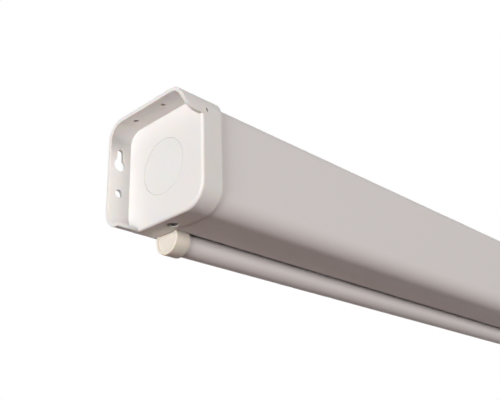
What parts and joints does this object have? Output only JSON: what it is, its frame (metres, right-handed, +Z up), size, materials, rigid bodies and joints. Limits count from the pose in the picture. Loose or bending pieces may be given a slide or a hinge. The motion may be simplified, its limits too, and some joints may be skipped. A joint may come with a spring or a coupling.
{
  "type": "pull down projector screen",
  "caption": "Manual pull-down projection screen: a long case with flanged end caps for wall or ceiling, a spring roller with the wound screen, and a round bottom bar with a pull handle.",
  "frame": {"origin": "on the wall face of the left rear flange, midway between its keyhole and its lower round hole", "axes": "+X along the case to the right end, +Y square into the wall, +Z up"},
  "size_m": [1.722, 0.098, 0.1571],
  "materials": {
    "cap": "satin moulded white plastic",
    "disc": "smooth white plastic",
    "shell": "off-white stoved enamel, satin",
    "bar": "off-white stoved enamel, satin",
    "bar_cap": "warm white moulded plastic",
    "handle": "warm white moulded plastic",
    "steel": "zinc plated",
    "dark_steel": "oiled spring steel",
    "aluminium": "mill finish",
    "acetal": "natural acetal",
    "fabric": "matt white coated cloth with black borders"
  },
  "bodies": {
    "case": {"left_end_cap": "cap", "right_end_cap": "cap", "left_cover_disc": "disc", "right_cover_disc": "disc", "left_base_screw": "dark_steel", "right_base_screw": "dark_steel", "left_bracket": "steel", "right_bracket": "steel", "left_bracket_rivet_lower": "steel", "right_bracket_rivet_lower": "steel", "left_bracket_rivet_upper": "steel", "right_bracket_rivet_upper": "steel", "case_shell": "shell", "motor_shaft": "steel", "ratchet_plate": "steel", "torsion_spring": "dark_steel", "spring_anchor": "steel", "idler_bush": "acetal", "screen_drop": "fabric"},
    "roller": {"roller_tube": "aluminium", "motor_end_plug": "steel", "shaft_bearing": "acetal", "rear_pawl_pin": "steel", "front_pawl_pin": "steel", "idler_plug": "acetal", "idler_pin": "steel", "screen_roll": "fabric"},
    "rear_pawl": {"rear_pawl": "dark_steel"},
    "front_pawl": {"front_pawl": "dark_steel"},
    "bottom_bar": {"bottom_bar": "bar", "hem_rod": "aluminium", "left_bar_cap": "bar_cap", "right_bar_cap": "bar_cap", "handle_bracket": "steel", "handle_rivet_left": "steel", "handle_rivet_right": "steel", "handle_pin": "steel"},
    "pull_handle": {"pull_handle": "handle"}
  },
  "joints": [
    {"name": "bar_slide", "type": "slide", "parent": "case", "child": "bottom_bar", "axis": [0, 0, -1], "range_m": [0, 1.5], "deforming": ["screen_drop"]},
    {"name": "roller_spin", "type": "hinge", "parent": "case", "child": "roller", "pos_m": [0.0276, -0.049, -0.0005], "axis": [-1, 0, 0], "range_deg": [0, 4500]},
    {"name": "rear_pawl_swing", "type": "hinge", "parent": "roller", "child": "rear_pawl", "pos_m": [0.023, -0.0325, -0.0005], "axis": [1, 0, 0], "range_deg": [-12, 10]},
    {"name": "front_pawl_swing", "type": "hinge", "parent": "roller", "child": "front_pawl", "pos_m": [0.023, -0.0655, -0.0005], "axis": [1, 0, 0], "range_deg": [-12, 10]},
    {"name": "handle_swing", "type": "hinge", "parent": "bottom_bar", "child": "pull_handle", "pos_m": [0.8506, -0.02775, -0.07155], "axis": [1, 0, 0], "range_deg": [-80, 20]}
  ],
  "couplings": [
    {"joint": "roller_spin", "follows": "bar_slide", "rad_per_m": 52.36}
  ]
}
